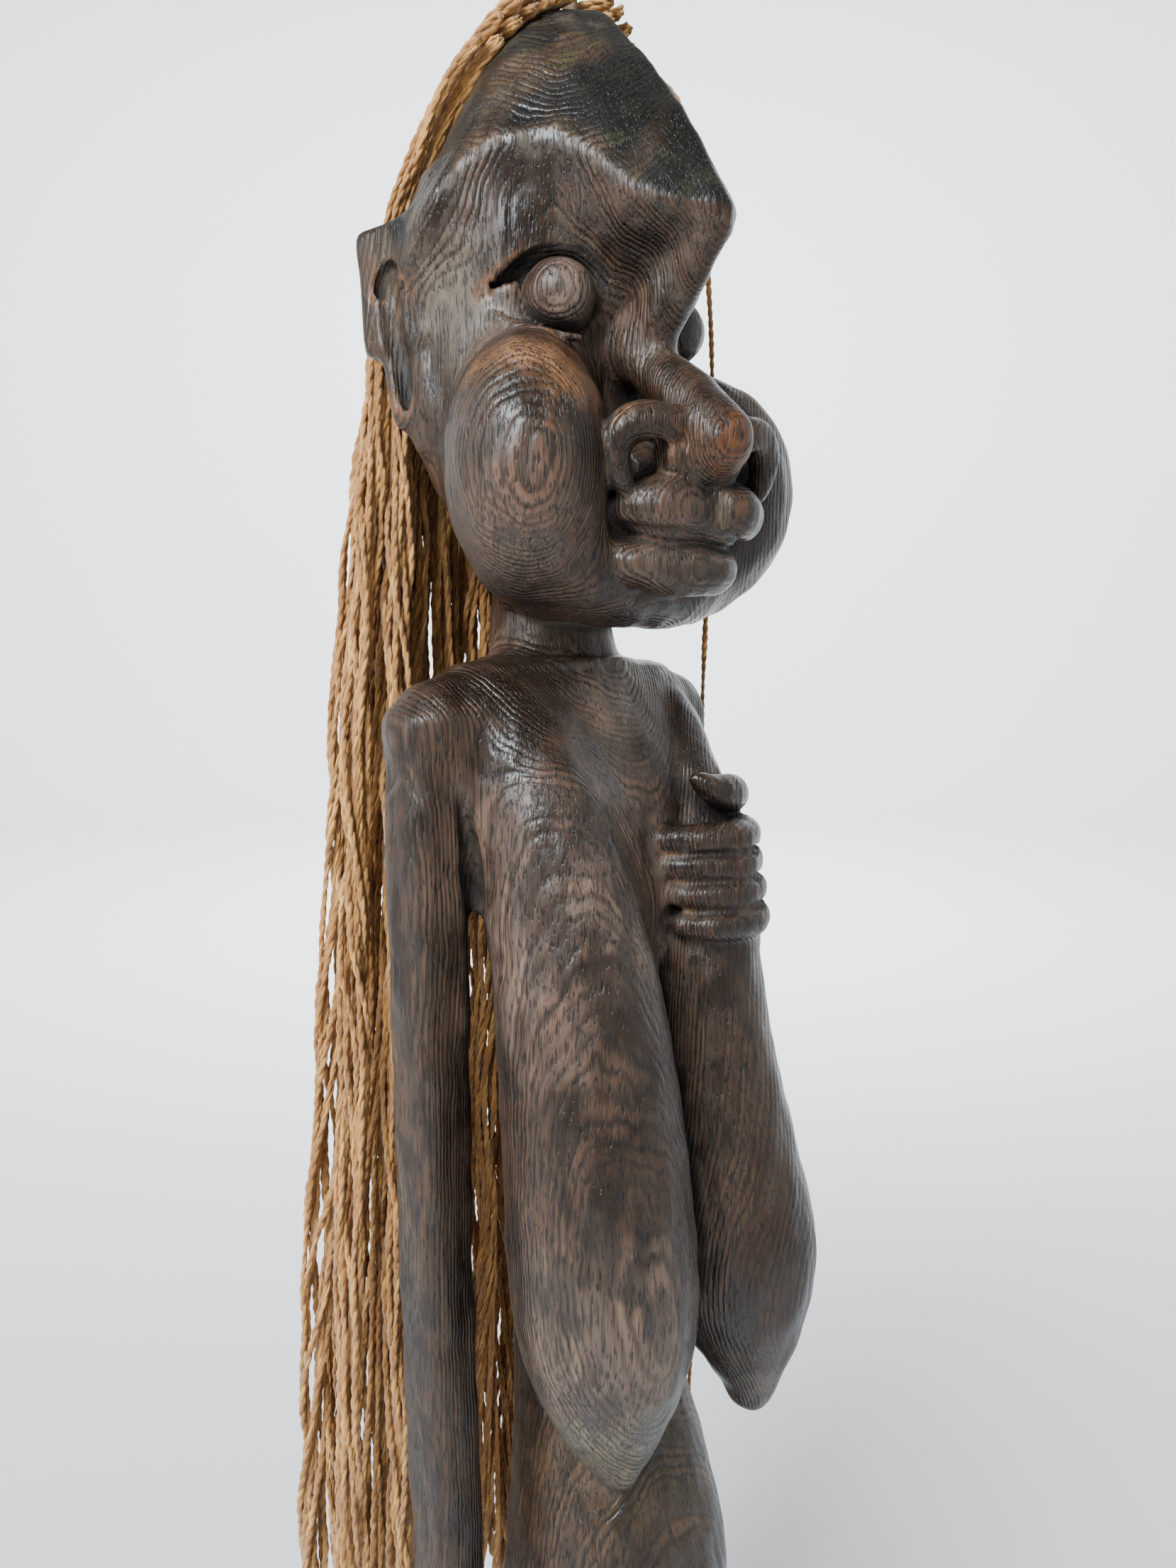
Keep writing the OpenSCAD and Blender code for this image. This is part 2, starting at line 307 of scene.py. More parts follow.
def lock_strands(route, yarn):
    """Ten strands that wander inside the lock; at the crown they are five yarns folded over."""
    route = np.vstack([route, 1.6 * route[-1] - 0.6 * route[-2]])
    side, up = frames(route[:, :3])
    s = along(route[:, :3])
    r = yarn.rng
    spin = r.uniform(0, 6.3)
    lay = 2 * np.pi * s / r.uniform(260, 520) * (1 if r.random() < 0.5 else -1)
    strands = []
    for n in range(STRANDS):
        a = spin + n * 2 * np.pi / STRANDS + lay + 0.9 * np.sin(s / r.uniform(25, 70) + 6 * r.random())
        room = route[:, 3] - 0.35 * STRAND_D
        rho = room * (0.72 + 0.4 * np.sin(s / r.uniform(18, 50) + 6 * r.random()))
        rho += (0.9 + 0.6 * np.sin(s / r.uniform(5, 9) + 6 * r.random())) * np.clip(s / 90, 0, 1)
        rho = np.minimum(rho, WANDER)
        line = route[:, :3] + (rho * np.cos(a))[:, None] * side + (rho * np.sin(a))[:, None] * up
        cut = len(line) - (int(r.integers(0, 9)) if n > 1 else 0)
        strands.append(line[:cut])
    return strands


def fold(a, b, reach):
    """A half loop of yarn from the end of b round to the start of a."""
    middle = (a[0] + b[0]) / 2
    out = unit(a[0] - a[4]) * reach
    rows = [b[0], b[0] + 0.7 * out, middle + 1.15 * out, a[0] + 0.7 * out, a[0]]
    return even(rows, FOLD_STEP)[1:-1]


def make_hair(material):
    """All the locks and the stray strand, each built in place of its CAD part, which is hidden."""
    for i in range(1, LOCKS + 1):
        path = even(lock_route(i), LOCK_STEP)
        yarn = Yarn(100 + i)
        strands = lock_strands(path, yarn)
        for a, b in zip(strands[::2], strands[1::2]):
            loop = fold(a, b, yarn.rng.uniform(1.0, 2.4))
            yarn.strand(np.concatenate([b[::-1], loop, a]), STRAND_D)
        name = f"hair_lock_{i:02d}"
        piece = yarn.piece(f"twine_lock_{i:02d}", material)
        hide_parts(name)
    path = even(STRAY, STRAY_STEP)
    yarn = Yarn(99)
    yarn.strand(path, STRAND_D * 0.9, pitch=9)
    piece = yarn.piece("twine_stray", material)
    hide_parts("stray_strand")


# ---------------------------------------------------------------- clay
# A carving is a field of signed distances on a grid, in millimetres, that shapes are
# blended into or cut out of. A shape is (distance function, lowest corner, highest corner).
def soft_min(a, b, k):
    """The smaller of two distances, with a fillet of about k between them."""
    if k <= 0:
        return np.minimum(a, b)
    h = np.maximum(k - np.abs(a - b), 0) / k
    return np.minimum(a, b) - h * h * k * 0.25


class Clay:
    def __init__(self, x, y, z):
        self.axes = [np.asarray(a, np.float32) for a in (x, y, z)]
        self.field = np.full([len(a) for a in self.axes], 30, np.float32)

    def near(self, low, high, pad):
        """Slices of the grid round a box."""
        found = []
        for a, lo_, hi_ in zip(self.axes, low, high):
            i, j = np.searchsorted(a, lo_ - pad), np.searchsorted(a, hi_ + pad)
            found.append(slice(max(i - 1, 0), min(j + 1, len(a))))
        return tuple(found)

    def grid(self, part):
        x, y, z = (a[s] for a, s in zip(self.axes, part))
        return x[:, None, None], y[None, :, None], z[None, None, :]

    def apply(self, shape, k, cut):
        distance, low, high = shape
        part = self.near(low, high, k + 4)
        if min(s.stop - s.start for s in part) < 2:
            return
        d = distance(*self.grid(part)).astype(np.float32)
        if cut:
            self.field[part] = -soft_min(-self.field[part], d, k)
        else:
            self.field[part] = soft_min(self.field[part], d, k)

    def add(self, *shapes, k=0):
        for shape in shapes:
            self.apply(shape, k, False)

    def cut(self, *shapes, k=0):
        for shape in shapes:
            self.apply(shape, k, True)


def ball(centre, r):
    """A sphere."""
    c = np.array(centre, float)
    return lambda x, y, z: np.sqrt((x - c[0]) ** 2 + (y - c[1]) ** 2 + (z - c[2]) ** 2) - r, c - r, c + r


def egg(centre, radii, axis=(1, 0, 0), up=(0, 0, 1)):
    """An ellipsoid. Its first radius lies along axis, and its third as near up as it can."""
    c, size = np.array(centre, float), np.array(radii, float)
    a = unit(axis)
    b = unit(np.cross(up, a))
    turn = np.array([a, b, np.cross(a, b)])
    reach = np.sqrt(((turn * size[:, None]) ** 2).sum(0))

    def distance(x, y, z):
        p = [(t[0] * (x - c[0]) + t[1] * (y - c[1]) + t[2] * (z - c[2])) / s for t, s in zip(turn, size)]
        k0 = np.sqrt(p[0] ** 2 + p[1] ** 2 + p[2] ** 2)
        k1 = np.sqrt((p[0] / size[0]) ** 2 + (p[1] / size[1]) ** 2 + (p[2] / size[2]) ** 2)
        return k0 * (k0 - 1) / np.maximum(k1, 1e-4)

    return distance, c - reach, c + reach


def cone(a, b, ra, rb):
    """A round-ended cone from a to b."""
    a, b = np.array(a, float), np.array(b, float)
    ab = b - a
    span = max(ab @ ab, 1e-9)

    def distance(x, y, z):
        px, py, pz = x - a[0], y - a[1], z - a[2]
        t = np.clip((px * ab[0] + py * ab[1] + pz * ab[2]) / span, 0, 1)
        gap = np.sqrt((px - t * ab[0]) ** 2 + (py - t * ab[1]) ** 2 + (pz - t * ab[2]) ** 2)
        return gap - (ra + t * (rb - ra))

    r = max(ra, rb)
    return distance, np.minimum(a, b) - r, np.maximum(a, b) + r


def limb(rows, count, k=1.0):
    """A round limb through rows of x, y, z, radius."""
    p = spline(rows, count)
    cones = [cone(a[:3], b[:3], a[3], b[3]) for a, b in zip(p, p[1:])]

    def distance(x, y, z):
        d = cones[0][0](x, y, z)
        for c in cones[1:]:
            d = soft_min(d, c[0](x, y, z), k)
        return d

    return distance, np.min([c[1] for c in cones], 0), np.max([c[2] for c in cones], 0)


def trunk(rows, power=2.2):
    """An upright loft through rows of z, middle x, middle y, half width, depth to the front, to the back."""
    rows = np.array(sorted(rows), float)
    dense = spline(rows, 40 * len(rows))
    z_low, z_high = rows[0, 0], rows[-1, 0]

    def distance(x, y, z):
        mx, my, wide, front, back = (
            np.interp(z.ravel(), dense[:, 0], c)[None, None, :].astype(np.float32) for c in dense.T[1:]
        )
        painted_hollow_shade = np.where(y < my, front, back)
        u, v = np.abs(x - mx) / wide, np.abs(y - my) / painted_hollow_shade
        q = (u**power + v**power + 1e-9) ** (1 / power)
        slope = np.sqrt((u ** (power - 1) / wide) ** 2 + (v ** (power - 1) / painted_hollow_shade) ** 2)
        slope /= np.maximum(q, 1e-3) ** (power - 1)
        d = (q - 1) / np.maximum(slope, 0.5 / np.maximum(wide, painted_hollow_shade))
        return -soft_min(-d, -np.maximum(z_low - z, z - z_high) + 0 * d, 3.0)

    low = [(rows[:, 1] - rows[:, 3]).min(), (rows[:, 2] - rows[:, 4]).min(), z_low]
    high = [(rows[:, 1] + rows[:, 3]).max(), (rows[:, 2] + rows[:, 5]).max(), z_high]
    return distance, np.array(low), np.array(high)


def slab(centre, half, axis=(1, 0, 0), up=(0, 0, 1), soft=2.0):
    """A box with rounded edges. half is its three half sizes, the first along axis."""
    c, size = np.array(centre, float), np.array(half, float)
    a = unit(axis)
    b = unit(np.cross(up, a))
    turn = np.array([a, b, np.cross(a, b)])
    reach = np.abs(turn * size[:, None]).sum(0)

    def distance(x, y, z):
        q = [
            np.abs(t[0] * (x - c[0]) + t[1] * (y - c[1]) + t[2] * (z - c[2])) - s + soft
            for t, s in zip(turn, size)
        ]
        out = np.sqrt(sum(np.maximum(e, 0) ** 2 for e in q))
        return out + np.minimum(np.maximum(np.maximum(q[0], q[1]), q[2]), 0) - soft

    return distance, c - reach, c + reach


def mesh_of(clay):
    """The surface of the clay, as points and quads."""
    inside = clay.field < 0
    nx, ny, nz = inside.shape
    count = np.zeros((nx - 1, ny - 1, nz - 1), np.int8)
    corners = [(i, j, k) for i in (0, 1) for j in (0, 1) for k in (0, 1)]
    for i, j, k in corners:
        count += inside[i : nx - 1 + i, j : ny - 1 + j, k : nz - 1 + k]
    active = (count > 0) & (count < 8)
    cells = np.argwhere(active)
    number = np.full(active.shape, -1, np.int32)
    number[active] = np.arange(len(cells))
    axes = [a.astype(float) for a in clay.axes]
    total, weight = np.zeros((len(cells), 3)), np.zeros(len(cells))
    for a in range(3):
        others = [b for b in range(3) if b != a]
        for u, v in ((0, 0), (0, 1), (1, 0), (1, 1)):
            p = cells.copy()
            p[:, others[0]] += u
            p[:, others[1]] += v
            q = p.copy()
            q[:, a] += 1
            fp, fq = (clay.field[tuple(e.T)].astype(float) for e in (p, q))
            crossed = (fp < 0) != (fq < 0)
            t = np.where(crossed, fp / np.where(crossed, fp - fq, 1), 0)
            at = np.stack([axes[b][p[:, b]] for b in range(3)], 1)
            at[:, a] += t * (axes[a][q[:, a]] - axes[a][p[:, a]])
            total += at * crossed[:, None]
            weight += crossed
    quads = []
    for a in range(3):
        one, two = (a + 1) % 3, (a + 2) % 3
        here = inside.take(range(inside.shape[a] - 1), a)
        there = inside.take(range(1, inside.shape[a]), a)
        edges = np.argwhere(here != there)
        for b in (one, two):
            edges = edges[(edges[:, b] > 0) & (edges[:, b] < inside.shape[b] - 1)]
        square = []
        for u, v in ((0, 0), (1, 0), (1, 1), (0, 1)):
            e = edges.copy()
            e[:, one] -= u
            e[:, two] -= v
            square.append(number[tuple(e.T)])
        square = np.stack(square, 1)
        outward = here[tuple(edges.T)]
        square[~outward] = square[~outward][:, ::-1]
        quads.append(square)
    return total / weight[:, None], np.concatenate(quads)


# ---------------------------------------------------------------- carving: head
SIDES = (-1, 1)
# Height of the cap's arched rim by the angle round from the front.
RIM = [
    (0, 906.5), (10, 907.5), (19, 910), (25, 913), (30, 918), (37, 924.5), (44, 930), (52, 934),
    (63, 934.5), (73, 933), (79, 930), (85, 925), (91, 919), (96, 911), (104, 900), (120, 890),
    (180, 890),
]


def askew(x, y, z, r):
    """The muzzle is carved a little further forward on its left half."""
    return x, y - (0.2 if x > 0 else 0.13) * x, z, r


def cap_shape():
    """The domed cap: round behind, drawn out to a prow in front, and hollowed under its arched rim."""
    reach = [
        (1003, 0), (1000, 8), (992, 20), (981, 30), (968, 42), (950, 56), (934, 66), (920, 75),
        (910, 80), (903, 79.5), (895, 76), (870, 70),
    ]
    side = [
        (1003, 0), (1000, 4), (992.4, 19), (979.5, 32), (966.6, 41), (953.5, 48), (940, 55), (927, 62),
        (914, 68), (900, 72), (870, 74),
    ]
    behind = [
        (1003, 0), (1000, 4), (992.4, 19), (979.5, 31), (966.6, 39), (953.5, 45), (940, 51), (927, 58),
        (914, 62), (900, 64), (860, 62),
    ]

    def distance(x, y, z):
        def at(pairs, value):
            pairs = np.array(sorted(pairs), float)
            return np.interp(value, pairs[:, 0], pairs[:, 1])

        high = np.minimum(z, 999.7)
        wide, front, back = at(side, high), at(reach, high), at(behind, high)
        v = np.where(y < DOME_Y, (DOME_Y - y) / np.maximum(front, 1), (y - DOME_Y) / np.maximum(back, 1))
        u = np.sqrt((x / wide) ** 2 + 0.002)
        f = np.where(y < DOME_Y, u + np.abs(v) ** 1.75, np.sqrt(u * u + v * v)) - 1
        slope = np.sqrt(sum(g * g for g in np.gradient(f, x.ravel(), y.ravel(), z.ravel())))
        d = f / np.maximum(slope, 0.006)
        d = -soft_min(-d, 1000.6 - z + 0 * d, 6)
        angle = np.degrees(np.arctan2(np.abs(x), DOME_Y - y))
        inward = np.clip(-d, 0, 60)
        steep = np.interp(angle, (15, 45), (0.85, 1.15))
        under = (at(RIM, angle) - steep * inward - z) / 1.5
        return -soft_min(-d, -under, 3.5)

    return distance, np.array([-86, -80, 860.0]), np.array([86, 96, 1003.0])


def carve_head(c):
    """Skull, cheeks, cap, brow keel and jaw, then the features."""
    c.add(trunk([
        (768, 0, 6, 22, 24, 26), (783, 0, 10, 38, 36, 24), (800, 0, 14, 49, 40, 26),
        (820, 0, 20, 55, 42, 34), (842, 0, 26, 58, 44, 41), (862, 0, 26, 58, 46, 45),
        (884, 0, 26, 58, 46, 46), (905, 0, 24, 60, 44, 46), (930, 0, 22, 54, 40, 42),
    ], 2.3))
    c.add(egg((-47.9, -15.6, 820), (38.5, 30, 46), axis=(-1, -1, 0)), k=16)
    c.add(egg((46.5, -17, 820), (38.5, 32, 46), axis=(1, -1, 0)), k=16)
    for s in SIDES:
        c.add(egg((s * 40, -9, 845), (20, 18, 22)), k=12)
    c.add(cap_shape(), k=9)
    c.add(limb([(0, -61, 902, 4), (0, -51, 893, 6.5), (0, -40, 882, 8), (0, -27, 868, 9)], 9, 3), k=9)
    c.add(limb([
        (-45, -17, 793, 21), (-22, -23, 785, 19), (0, -25, 783.5, 17.5), (22, -24, 785, 19),
        (45, -17, 793, 21),
    ], 11, 4), k=8)
    carve_eyes(c)
    carve_muzzle(c)
    carve_ears(c)
    c.add(cone((0, 24, 735), (0, 24, 790), 23.5, 23), k=7)


def carve_eyes(c):
    """Ball eyes in a deep crevice."""
    for s in SIDES:
        x, y, z = s * 32.5, -14 + 1.5 * s, 882.5
        out = np.array([s * -0.72, -0.69, 0])
        # the crevice round the eyeball, widest above and outside
        c.cut(egg((x, y - 1, z + 1.5), (14.8, 14, 15), axis=out), k=1.5)
        crease = [
            (50, 5.5, 883, 1.5), (46.5, 0.5, 887.5, 2.6), (43, -4, 891, 3.2), (39.5, -9.5, 895, 3),
            (35, -15, 897.5, 2.4), (28, -21, 897, 1.6),
        ]
        c.cut(limb([(s * e[0], *e[1:]) for e in crease], 18, 2), k=1.5)
        c.add(ball((x, y - 0.3, z + 0.5), 13.4), k=0.6)
        # the thin ledge under the ball
        ledge = [
            (51, 1, 876.5, 1), (49, -8, 871.5, 1.5), (44, -17, 868.5, 1.7), (37, -23, 867, 1.5),
            (31, -25, 867, 1),
        ]
        c.add(limb([(s * e[0], *e[1:]) for e in ledge], 16, 1), k=1.5)
        # rings worked into the inner side of the ball
        for ring in (12.2, 15.4):
            c.cut(groove_ring((x, y, z), unit([s * 0.9, -0.45, -0.15]), ring), k=0.6)


def groove_ring(centre, facing, radius):
    """A thin torus round the facing axis, used to scratch a ring."""
    c = np.array(centre, float)

    def distance(x, y, z):
        p = [x - c[0], y - c[1], z - c[2]]
        along_axis = p[0] * facing[0] + p[1] * facing[1] + p[2] * facing[2]
        across = np.sqrt(np.maximum(p[0] ** 2 + p[1] ** 2 + p[2] ** 2 - along_axis**2, 0))
        return np.sqrt((across - 0.62 * radius) ** 2 + (along_axis + 0.8 * radius) ** 2) - 0.7

    return distance, c - radius - 2, c + radius + 2


def carve_muzzle(c):
    """Nose with hooked nostrils, and knobbed lips."""
    c.add(egg((0, -24, 806), (26, 22, 30)), k=6)
    # nose: a flat-sided bridge to a round tip
    c.add(limb([(0, -21, 869, 9), (0, -36, 857, 9), (0, -50, 845, 11), (1, -62, 830, 13.6)], 12, 3), k=6)
    c.add(limb([(-15, -53, 824, 6), (0, -57, 820.5, 7), (14, -57, 824, 6)], 8, 2), k=4)
    for s in SIDES:
        # the nostril wing is a hook that curls round its hole
        wing = [
            (11, -55, 834, 7), (18, -56, 834.5, 7), (25, -55, 835, 6.8), (30, -53.5, 834, 6.3),
            (33.4, -52, 831, 5.6), (34.9, -51, 826, 4.9), (34, -50.5, 820, 4.4), (31.5, -50, 815, 3.8),
            (28, -49, 811.5, 2.4),
        ]
        c.add(limb([askew(s * x, y, z, r) for x, y, z, r in wing], 20, 2), k=2)
        hole = [(21, -55, 827, 4.2), (22.8, -54, 821, 5.6), (24, -55, 815.5, 4.2)]
        c.cut(limb([askew(s * x, y, z, r) for x, y, z, r in hole], 8, 2), k=1.2)
        c.cut(limb([
            askew(s * 22.8, -56, 820, 4.6), askew(s * 21, -46, 822, 5.2), askew(s * 17, -36, 824, 3),
        ], 8, 2), k=1.2)
    upper = [
        (-25, -46, 806, 6.5), (-18, -50, 806.5, 10), (-11, -52, 806.5, 12), (-4, -53.5, 805.5, 9.6),
        (0, -54, 805, 8.6), (5, -55, 805.5, 10), (12, -56, 806, 11.2), (19, -54, 806, 9.6),
        (25, -50, 806, 7),
    ]
    lower = [
        (-25, -42, 788, 7.5), (-16, -46, 786.5, 9.6), (-6, -48.5, 785.5, 10.4), (4, -49, 785.5, 10),
        (13, -48, 786, 9), (20, -45, 787, 6.6),
    ]
    c.add(limb([askew(*p) for p in upper], 24, 2), k=2)
    c.add(limb([askew(*p) for p in lower], 18, 2), k=2)
    # creases: down the middle of the upper lip, between the lips and under the lower one
    c.cut(limb([(0, -68, 815, 1.6), (0, -65.5, 808, 2.2), (0, -65, 799, 1.4)], 6, 1), k=3)
    c.cut(limb([
        (-29, -43, 798, 3.2), (-20, -55, 797, 1.8), (-8, -61, 796.5, 1.8), (8, -64, 796, 1.8),
        (22, -58, 797, 1.8),
    ], 14, 1), k=1.5)
    c.cut(limb([
        (-17, -43, 775, 2.2), (-8, -46.5, 773.5, 2.8), (6, -48, 773.5, 2.8), (17, -46, 776, 2.2),
    ], 10, 1), k=4)


def carve_ears(c):
    """Flat ears, each with a sunk groove."""
    for s in SIDES:
        face = (s * 0.972, -0.234, 0)
        # a flat flange whose back edge slants in towards the jaw
        c.add(slab((s * 60, 44, 893), (5, 17, 24), axis=face, up=(0, 0.1, 1), soft=4), k=5)
        c.add(slab((s * 57.5, 41, 866), (5, 11, 24), axis=face, up=(s * 0.1, 0.28, 1), soft=3), k=5)
        c.add(slab((s * 54, 36, 848), (5, 8, 16), axis=face, up=(s * 0.12, 0.36, 1), soft=3), k=6)
        # the sunk groove down its face, and the deep cut over the tongue at its top
        c.cut(limb([
            (s * 66.5, 43.5, 893, 5.2), (s * 66, 42.5, 880, 4.8), (s * 63, 40.5, 865, 4),
            (s * 60, 38.5, 848, 2.6),
        ], 14, 2), k=1)
        c.cut(limb([
            (s * 64, 51, 889, 1.5), (s * 64.5, 49, 895, 2.2), (s * 64, 44, 899, 2.6),
            (s * 63, 38.5, 896, 2.2), (s * 62, 35.5, 889, 1.4),
        ], 14, 1), k=0.8)


# ---------------------------------------------------------------- carving: body
def carve_body(c):
    """Torso, shoulders and neck, then what is carved on them."""
    c.add(trunk([
        (300, 0, -4, 57, 52, 48), (340, 0, -10, 51, 48, 44), (374, 0, -13, 47, 46, 40),
        (410, 0, -11, 43, 39, 37), (450, 0, -5, 38, 30, 31), (500, 0, 0, 36, 26, 26),
        (560, 0, 2, 37, 26, 25), (620, 0, 4, 41, 32, 26), (650, 0, 6, 46, 42, 26),
        (680, 0, 8, 51, 42, 26), (712, 0, 11, 58, 36, 25), (738, 0, 14, 60, 24, 22),
        (748, 0, 15, 54, 16, 17),
    ], 2.3))
    c.add(limb([
        (-70, 13, 728, 16.5), (-40, 15, 732, 17.5), (0, 19, 735, 19), (40, 17, 732, 17.5),
        (64, 16, 729, 16),
    ], 12, 3), k=12)
    c.add(cone((0, 24, 725), (0, 24, 780), 24, 22.5), k=22)
    carve_breasts(c)
    carve_right_arm(c)
    carve_left_arm(c)


def carve_breasts(c):
    """Two long hanging breasts."""
    right = [
        (-44, 4, 724, 18), (-39, -12, 694, 25), (-36, -24, 645, 29.5), (-35, -33, 595, 32.5),
        (-35, -39, 545, 34.6), (-34.5, -42, 508, 34), (-33.5, -43, 484, 28), (-32.5, -44, 464, 19),
        (-31.5, -45, 449, 11), (-31, -45.5, 439, 6),
    ]
    left = [
        (44, 2, 724, 16), (39, -12, 692, 21), (35.5, -25, 645, 25), (34, -33, 595, 27),
        (35.5, -41, 545, 31.5), (37.5, -46.5, 512, 33.5), (39, -50, 490, 28.5), (41, -52, 469, 20),
        (42.5, -53, 453, 12.5), (43.5, -53.5, 441, 8),
    ]
    c.add(limb(right, 34, 4), k=12)
    c.add(limb(left, 34, 4), k=3)


def carve_right_arm(c):
    """The arm that hangs straight down."""
    c.add(trunk([
        (372, -70, 8, 11, 12, 12), (400, -72.5, 8.5, 12, 12.5, 12.5), (500, -75, 9.5, 12.2, 12.8, 12.8),
        (600, -75.8, 10, 12.6, 13, 13), (680, -75.5, 11, 13.2, 13.8, 14), (730, -72, 13, 13.5, 14.5, 14.5),
    ], 3.2), k=9)
    # splintery web left standing in the armpit
    c.add(limb([(-62, 8, 712, 13), (-59, 5, 690, 10), (-58, 3, 672, 6), (-57, 2, 662, 3)], 9, 2), k=8)
    c.cut(limb([
        (-73, -4.5, 707, 1.2), (-70.5, -4.5, 697, 2.4), (-68, -4, 685, 3.2), (-66, -3, 673, 4),
        (-64, -2, 662, 4.4),
    ], 12, 1), k=1.5)


def carve_left_arm(c):
    """The bent arm whose hand holds the breast."""
    c.add(limb([
        (64, 16, 728, 16), (71, 17, 690, 14), (76, 17, 640, 13), (77, 14, 600, 13), (75, 8, 584, 13),
        (71, -6, 592, 11), (66, -20, 610, 9.5), (60, -30, 630, 9), (55, -34, 648, 9),
    ], 30, 3), k=5)
    # the hand lies round the breast as one flat band, with lines cut between the four fingers
    finger_z = (681.5, 671.3, 659.8, 648)
    for n, z in enumerate(finger_z):
        rows = [
            (6 + n, -35 - 2.2 * n, z, 4.2), (17, -44 - 2 * n, z, 6),
            (31, -49.5 - 1.5 * n, z - 0.5, 6.6), (45, -43.5 - 1.8 * n, z - 1, 7),
            (54, -32 - 1.5 * n, z - 2, 7.5), (60, -20, z - 4, 8),
        ]
        c.add(limb(rows, 18, 2), k=4)
    for n, (z, below) in enumerate(zip(finger_z, finger_z[1:])):
        middle = (z + below) / 2
        rows = [
            (4 + n, -41 - 2.2 * n, middle, 1.2), (16.5, -50.5 - 2 * n, middle, 1.5),
            (31, -56.5 - 1.6 * n, middle - 0.5, 1.5), (48, -48.8 - 1.8 * n, middle - 1, 1.5),
            (58.5, -35 - 1.5 * n, middle - 2, 1.4), (66, -22, middle - 3, 1),
        ]
        c.cut(limb(rows, 22, 0.5), k=1.5)
    c.add(limb([
        (58, -24, 692, 7), (46, -36, 697, 7), (32, -41, 699, 6), (20, -38, 705, 2.5),
    ], 10, 3), k=1.5)


def carve_base(c):
    """Legs, feet and plinth."""
    for s in SIDES:
        c.add(limb([
            (s * 34, -2, 320, 30), (s * 36, -12, 230, 25), (s * 37, -12, 170, 23),
            (s * 37, -2, 110, 20), (s * 36, 6, 70, 18),
        ], 24, 5), k=10)
        c.add(limb([(s * 36, 8, 52, 19), (s * 36, -20, 50, 15), (s * 37, -46, 48, 12)], 10, 4), k=8)
    c.add(trunk([(0, 0, 0, 94, 85, 85), (38, 0, 0, 93, 84, 84), (42, 0, 0, 91, 82, 82)], 2.4), k=1)

# ---------------------------------------------------------------- carving: surface
def sample(clay, points):
    """The clay's distance at scattered points."""
    at = [np.interp(points[:, a], axis, np.arange(len(axis))) for a, axis in enumerate(clay.axes)]
    low = [np.minimum(a.astype(int), len(axis) - 2) for a, axis in zip(at, clay.axes)]
    total = 0
    for i in (0, 1):
        for j in (0, 1):
            for k in (0, 1):
                share = 1
                for a, b, step in zip(at, low, (i, j, k)):
                    share = share * (a - b if step else 1 - a + b)
                total = total + share * clay.field[low[0] + i, low[1] + j, low[2] + k]
    return total


def ripple(points, size, seed, count=20):
    """A smooth random height, about -1 to 1, with bumps of about the given size."""
    r = np.random.default_rng(seed)
    waves = unit(r.normal(size=(count, 3))) * (2 * np.pi / (size * r.uniform(0.7, 1.6, (count, 1))))
    return np.sin(points @ waves.T + r.uniform(0, 6.3, count)).sum(1) / math.sqrt(count)


def ease(value, low, high):
    t = np.clip((value - low) / (high - low), 0, 1)
    return t * t * (3 - 2 * t)


# Colour of the wood by place: centre, radius, colour. Later spots lie over earlier ones. Some hold painted
# light and painted shade, as marked.
BODY_TONE = (0.032, 0.0165, 0.0090)
SPOTS = [
    # painted sheen: the chest's colour raised to carry the window's sheen
    ((-30, -10, 650), (60, 60, 70), (0.085, 0.054, 0.040)),  # chest
    ((0, 10, 745), (40, 60, 30), (0.072, 0.048, 0.035)),  # neck
    # painted sheen: the right breast's colour raised to carry the window's sheen
    ((-36, -60, 500), (50, 45, 60), (0.076, 0.048, 0.034)),  # right breast
    ((-45, -55, 462), (40, 40, 24), (0.072, 0.058, 0.038)),  # its dusty tip
    # painted shade: the left breast darkened as the side away from the light
    ((40, -60, 500), (34, 50, 75), (0.020, 0.0085, 0.0040)),  # left breast
    ((35, -45, 660), (40, 40, 40), (0.026, 0.0125, 0.0070)),  # hand
    ((0, -10, 420), (50, 60, 50), (0.050, 0.030, 0.015)),  # belly
    ((-76, 8, 560), (22, 26, 160), (0.029, 0.0150, 0.0080)),  # right arm
    ((0, 0, 90), (160, 160, 120), (0.028, 0.0155, 0.0090)),  # plinth
    ((0, -30, 850), (90, 60, 60), (0.034, 0.0170, 0.0090)),  # face
    # painted highlight: the top of the right cheek, lightened where the window light falls
    ((-54, -38, 852), (34, 34, 15), (0.120, 0.056, 0.025)),  # top of the right cheek
    # the right cheek, partly its own colour and partly lightened as painted light
    ((-62, -45, 800), (34, 34, 28), (0.062, 0.034, 0.022)),  # right cheek
    # painted shade: the left cheek darkened as the side away from the light
    ((50, -40, 820), (40, 40, 40), (0.019, 0.0090, 0.0050)),  # left cheek
    ((0, -72, 828), (16, 18, 17), (0.066, 0.024, 0.0080)),  # tip of the nose
    ((0, -60, 790), (40, 24, 20), (0.042, 0.025, 0.017)),  # lips
    ((-60, 12, 878), (16, 30, 26), (0.070, 0.052, 0.038)),  # temple
    ((-63, 45, 880), (20, 24, 50), (0.040, 0.0225, 0.0125)),  # ear
    ((-32, -24, 884), (13, 14, 14), (0.066, 0.045, 0.034)),  # eyeball
]


